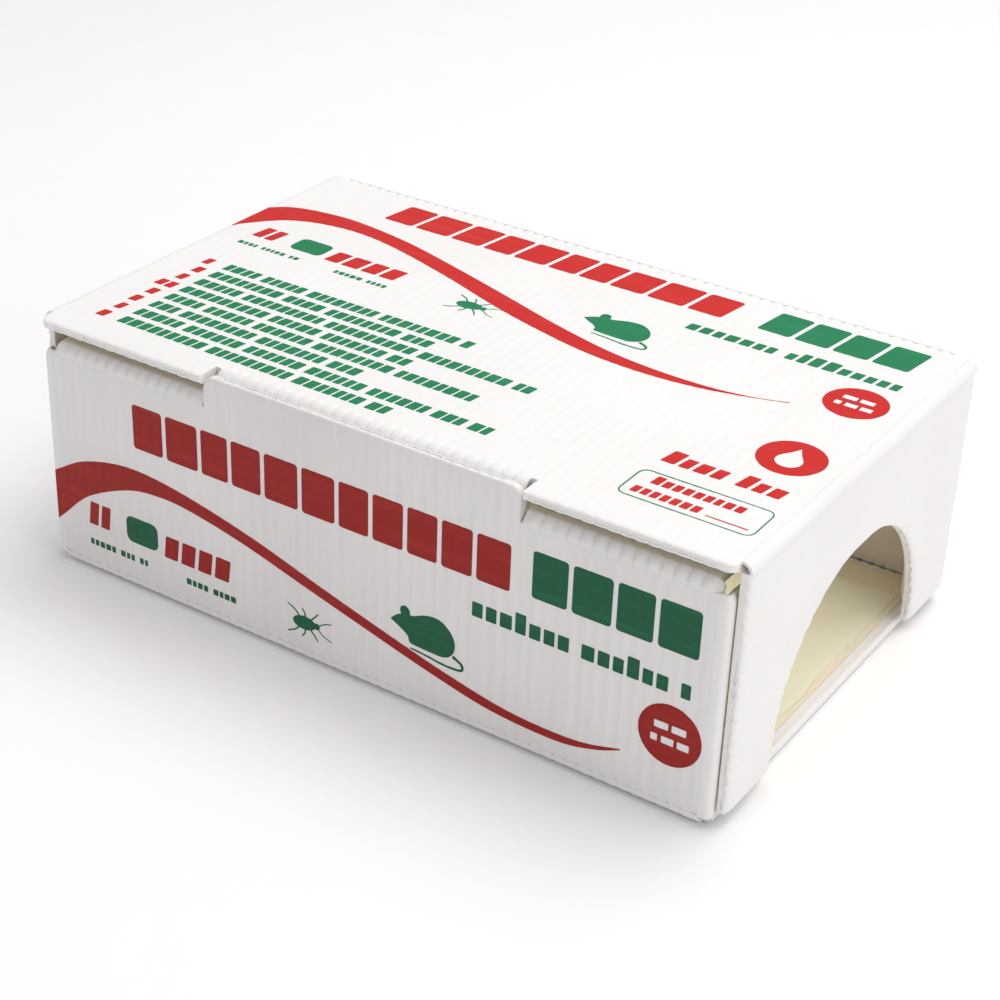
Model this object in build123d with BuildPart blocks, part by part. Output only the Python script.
from build123d import *
import os

# Folding glue station for mice and insects: one creased sheet of twin-wall plastic, and a glue board.
# Millimetres. X runs along the front, -Y is the front, +Z is up. The origin is the middle of the underside.

# Twin-wall sheet
sheet = 3.3
skin = 0.35
rib = 0.3
pitch = 4.0

# Closed station
front_length = 234.0
depth = 150.0
height = 83.0

# Folds and running gaps
fold_skin = 0.7
fold_relief = 0.1
side_gap = 0.3
swing_gap = 0.4

# Entry arches
arch_radius = 46.0
arch_centre_height = 9.0
leg_clearance = 3.8
leg_corner = 2.0
end_wall_setback = 3.2

# Front lips and stand-up tab
lip_drop = 6.6
lip_reach = 18.0
lip_end_gap = 2.0
tab_half_length = 54.0
tab_corner = 3.5
tab_end_gap = 0.8

# Tuck tab of the lid
tuck_depth = 17.0
tuck_lean = 3.0
tuck_end_gap = 1.4
tuck_corner = 6.0

# Dust flaps
flap_reach = 22.0
flap_floor = 5.0
flap_top = 72.0
flap_corner = 3.0

# Lid and floor
lid_corner = 2.5
floor_overhang = 0.5

# Glue board
card_length = 226.0
card_width = 139.0
card_thickness = 0.6
card_corner = 2.0
glue_length = 224.0
glue_width = 117.0
glue_thickness = 0.5
glue_corner = 1.5

# Worked out from the driving dimensions
half_front = front_length / 2
half_depth = depth / 2
wall_mid = half_depth - sheet / 2
wall_inner = half_depth - sheet
fold_end = wall_inner - fold_relief
panel_half = half_front - sheet
lid_under = height - sheet
lip_top = height - lip_drop
lip_under = lip_top - sheet
end_inner = half_front + side_gap
end_half = half_depth - end_wall_setback

out_x = Vector(1, 0, 0)
out_y = Vector(0, 1, 0)
out_z = Vector(0, 0, 1)
sides = {"left": -1, "right": 1}
ends = {"front": -1, "back": 1}


def sheet_section(length):
    """Twin-wall section, as long as given along the sketch's x, with whole channels between solid edges."""
    Rectangle(length, sheet)
    with GridLocations(pitch, 0, int((length - 2 * skin) // pitch), 1):
        Rectangle(pitch - rib, sheet - 2 * skin, mode=Mode.SUBTRACT)


def section_plane(middle, along, flutes):
    """Plane of a panel's section: its x runs along the section, and its normal along the flutes."""
    return Plane(origin=middle, x_dir=along, z_dir=flutes)


def fold_plane(centre, out_a, out_b):
    """Plane across a fold, centred on its bend, with the two outer faces towards x and y."""
    return Plane(origin=centre, x_dir=out_a, z_dir=out_a.cross(out_b))


def fold_section():
    """Quarter ring: the two skins of the sheet, crushed together and bent through a right angle."""
    Circle(sheet)
    Circle(sheet - fold_skin, mode=Mode.SUBTRACT)
    Rectangle(sheet, sheet, align=(Align.MIN, Align.MIN), mode=Mode.INTERSECT)


def save(piece, name):
    """Labels a finished piece and writes it under its own name."""
    piece.part.label = name
    export_step(piece.part, f"parts/{name}.step")


os.makedirs("parts", exist_ok=True)

# Floor panel, with its flutes from front to back
with BuildPart() as base_panel:
    with BuildSketch(section_plane((0, 0, sheet / 2), out_x, out_y)):
        sheet_section(front_length - 2 * floor_overhang)
    extrude(amount=fold_end, both=True)
save(base_panel, "base_panel")

# Front wall, upright flutes, with the tab that stands up to the top of the lid
with BuildPart() as front_wall:
    with BuildSketch(section_plane((0, -wall_mid, sheet + fold_relief), out_x, out_z)):
        sheet_section(2 * panel_half - 2 * fold_relief)
    extrude(amount=height - sheet - fold_relief)
    with BuildSketch(Plane.XZ.offset(wall_inner)):
        with Locations((0, (lip_under - fold_relief) / 2)):
            Rectangle(front_length, lip_under - fold_relief)
        with Locations((0, height / 2)):
            RectangleRounded(2 * tab_half_length, height, tab_corner)
    extrude(amount=sheet, mode=Mode.INTERSECT)
save(front_wall, "front_wall")

# Back wall, upright flutes
with BuildPart() as back_wall:
    with BuildSketch(section_plane((0, wall_mid, sheet + fold_relief), out_x, out_z)):
        sheet_section(2 * panel_half - 2 * fold_relief)
    extrude(amount=lid_under - sheet - 2 * fold_relief)
save(back_wall, "back_wall")

# Folds along the floor's front and back edges
for end, way in ends.items():
    with BuildPart() as base_fold:
        with BuildSketch(fold_plane((0, way * wall_inner, sheet), way * out_y, -out_z)):
            fold_section()
        extrude(amount=panel_half, both=True)
    save(base_fold, f"base_{end}_fold")

# Lips that fold in from the front wall, one each side of the stand-up tab, and their folds
lip_start = tab_half_length + tab_end_gap
lip_end = panel_half - lip_end_gap
lip_middle = (lip_start + lip_end) / 2
fold_outer = panel_half - fold_relief
lip_fold_middle = (lip_start + fold_outer) / 2
for side, way in sides.items():
    lip_front = -wall_inner + swing_gap
    lip_back = -half_depth + lip_reach
    with BuildPart() as front_lip:
        with BuildSketch(
            section_plane((way * lip_middle, lip_front, lip_top - sheet / 2), out_x, out_y)
        ):
            sheet_section(lip_end - lip_start)
        extrude(amount=lip_back - lip_front)
    save(front_lip, f"front_lip_{side}")

    with BuildPart() as front_lip_fold:
        with BuildSketch(fold_plane((way * lip_fold_middle, -wall_inner, lip_under), -out_y, out_z)):
            fold_section()
        extrude(amount=(fold_outer - lip_start) / 2, both=True)
    save(front_lip_fold, f"front_lip_fold_{side}")

# Dust flaps, folded in from both ends of the front and back walls, and their folds
flap_start = wall_inner - swing_gap
flap_end = half_depth - flap_reach
flap_middle = (flap_start + flap_end) / 2
for end, end_way in ends.items():
    fold_top = lip_under if end == "front" else lid_under
    for side, way in sides.items():
        with BuildPart() as dust_flap:
            with BuildSketch(
                section_plane(
                    (way * (half_front - sheet / 2), end_way * flap_middle, flap_floor), out_y, out_z
                )
            ):
                sheet_section(flap_start - flap_end)
            extrude(amount=flap_top - flap_floor)
            with BuildSketch(Plane.YZ.offset(way * half_front)):
                with Locations((end_way * flap_middle, (flap_floor + flap_top) / 2)):
                    Rectangle(flap_start - flap_end, flap_top - flap_floor)
                fillet(vertices().sort_by(Axis.X, reverse=end_way > 0)[-2:], flap_corner)
            extrude(amount=-way * sheet, mode=Mode.INTERSECT)
        save(dust_flap, f"{end}_dust_flap_{side}")

        with BuildPart() as dust_fold:
            with BuildSketch(
                fold_plane((way * panel_half, end_way * wall_inner, 0), way * out_x, end_way * out_y)
            ):
                fold_section()
            extrude(amount=way * end_way * (fold_top - fold_relief))
            split(bisect_by=Plane.XY.offset(sheet), keep=Keep.TOP)
        save(dust_fold, f"{end}_dust_fold_{side}")

# Lid, with flutes from front to back, cut back in the middle for the stand-up tab
tuck_outer = wall_inner - swing_gap
tuck_inner = tuck_outer - sheet
with BuildPart() as lid_panel:
    with BuildSketch(section_plane((0, 0, height - sheet / 2), out_x, out_y)):
        sheet_section(2 * end_inner - 2 * fold_relief)
    extrude(amount=half_depth, both=True)
    with BuildSketch(Plane.XY.offset(lid_under)):
        with Locations((0, (fold_end - half_depth) / 2)):
            Rectangle(2 * end_inner - 2 * fold_relief, half_depth + fold_end)
        fillet(vertices().group_by(Axis.Y)[0], lid_corner)
        with Locations((0, -half_depth)):
            Rectangle(2 * lip_start, 2 * (half_depth - tuck_inner + fold_relief), mode=Mode.SUBTRACT)
    extrude(amount=sheet, mode=Mode.INTERSECT)
save(lid_panel, "lid_panel")

# Fold between the lid and the back wall
with BuildPart() as lid_back_fold:
    with BuildSketch(fold_plane((0, wall_inner, lid_under), out_y, out_z)):
        fold_section()
    extrude(amount=fold_outer, both=True)
save(lid_back_fold, "lid_back_fold")

# Tuck tab, leaning in behind the stand-up tab, and its fold
tuck_half = tab_half_length - tuck_end_gap
tuck_root = Plane(origin=(0, -tuck_inner, lid_under), x_dir=out_x, z_dir=-out_z)
tuck_plane = tuck_root.rotated((tuck_lean, 0, 0))
with BuildPart() as tuck_tab:
    with BuildSketch(tuck_plane.offset(swing_gap)):
        with Locations((0, sheet / 2)):
            sheet_section(2 * tuck_half)
    extrude(amount=tuck_depth - sheet)
    tuck_face = Plane(origin=tuck_plane.origin, x_dir=out_x, z_dir=tuck_plane.y_dir)
    with BuildSketch(tuck_face):
        with Locations((0, -swing_gap)):
            Rectangle(2 * tuck_half, tuck_depth - sheet, align=(Align.CENTER, Align.MAX))
        fillet(vertices().group_by(Axis.Y)[0], tuck_corner)
    extrude(amount=sheet, mode=Mode.INTERSECT)
save(tuck_tab, "tuck_tab")

with BuildPart() as tuck_fold:
    with BuildSketch(fold_plane((0, -tuck_inner, lid_under), -out_y, out_z)):
        fold_section()
    extrude(amount=tuck_half, both=True)
save(tuck_fold, "tuck_fold")

# End walls that hang from the lid, with an entry arch open at the bottom, and their folds
end_top = lid_under - fold_relief
for side, way in sides.items():
    with BuildPart() as end_wall:
        with BuildSketch(
            section_plane((way * (end_inner + sheet / 2), 0, (leg_clearance + end_top) / 2), out_z, out_y)
        ):
            sheet_section(end_top - leg_clearance)
        extrude(amount=end_half, both=True)
        with BuildSketch(Plane.YZ.offset(way * end_inner)):
            with Locations((0, (leg_clearance + end_top) / 2)):
                Rectangle(2 * end_half, end_top - leg_clearance)
            with Locations((0, arch_centre_height)):
                Circle(arch_radius, mode=Mode.SUBTRACT)
            Rectangle(2 * arch_radius, 2 * arch_centre_height, mode=Mode.SUBTRACT)
            fillet(vertices().group_by(Axis.Y)[0], leg_corner)
        extrude(amount=way * sheet, mode=Mode.INTERSECT)
    save(end_wall, f"end_wall_{side}")

    with BuildPart() as end_fold:
        with BuildSketch(fold_plane((way * end_inner, 0, lid_under), way * out_x, out_z)):
            fold_section()
        extrude(amount=end_half, both=True)
    save(end_fold, f"end_fold_{side}")

# Glue board: a card that covers the floor, with a layer of glue on it
with BuildPart() as glue_card:
    with BuildSketch(Plane.XY.offset(sheet + fold_relief)):
        RectangleRounded(card_length, card_width, card_corner)
    extrude(amount=card_thickness)
save(glue_card, "glue_card")

with BuildPart() as glue_layer:
    with BuildSketch(Plane.XY.offset(sheet + fold_relief + card_thickness)):
        RectangleRounded(glue_length, glue_width, glue_corner)
    extrude(amount=glue_thickness)
save(glue_layer, "glue_layer")
